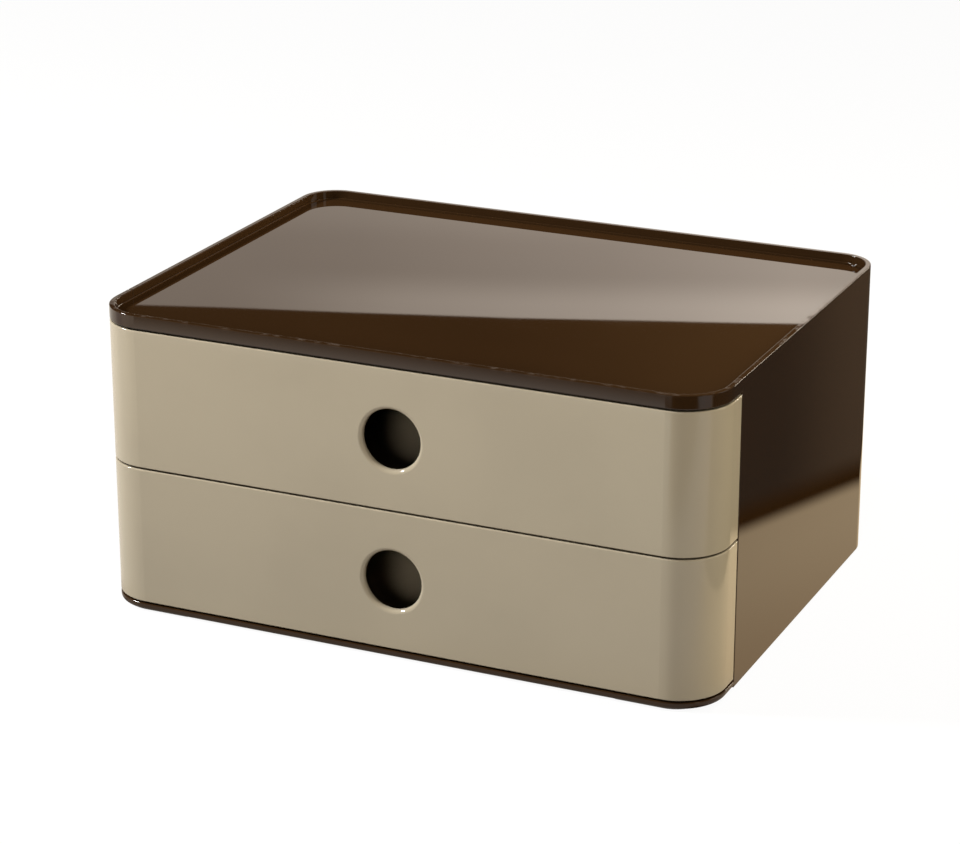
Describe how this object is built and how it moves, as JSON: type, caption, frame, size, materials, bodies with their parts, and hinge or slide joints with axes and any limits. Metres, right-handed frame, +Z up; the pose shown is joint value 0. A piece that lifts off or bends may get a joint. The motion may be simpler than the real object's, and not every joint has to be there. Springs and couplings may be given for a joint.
{
  "type": "desk file box with drawers",
  "caption": "Low desktop box with rounded corners, stacked pull-out drawers with round finger holes, and a shallow rimmed top.",
  "frame": {"origin": "on the ground under the middle of the box", "axes": "+X to the right seen from the front, +Y to the back, +Z up; the drawers open towards -Y"},
  "size_m": [0.26, 0.195, 0.125],
  "materials": {
    "gloss_dark_brown": "high gloss moulded",
    "gloss_beige": "high gloss moulded",
    "tray_beige": "gloss moulded, a little softer than the fronts",
    "matte_dark_brown": "fine spark-eroded texture",
    "dark_rubber": "matte",
    "zinc_steel": "bright zinc plated"
  },
  "bodies": {
    "casing": {"outer_casing": "gloss_dark_brown", "top_panel": "gloss_dark_brown", "base_plate": "gloss_dark_brown", "base_screws": "zinc_steel", "left_side_frame": "matte_dark_brown", "right_side_frame": "matte_dark_brown", "front_left_foot": "dark_rubber", "front_right_foot": "dark_rubber", "rear_left_foot": "dark_rubber", "rear_right_foot": "dark_rubber"},
    "upper_drawer": {"upper_drawer_front": "gloss_beige", "upper_drawer_tray": "tray_beige"},
    "lower_drawer": {"lower_drawer_front": "gloss_beige", "lower_drawer_tray": "tray_beige"}
  },
  "joints": [
    {"name": "upper_drawer_slide", "type": "slide", "parent": "casing", "child": "upper_drawer", "axis": [0, -1, 0], "range_m": [0, 0.12]},
    {"name": "lower_drawer_slide", "type": "slide", "parent": "casing", "child": "lower_drawer", "axis": [0, -1, 0], "range_m": [0, 0.12]}
  ]
}
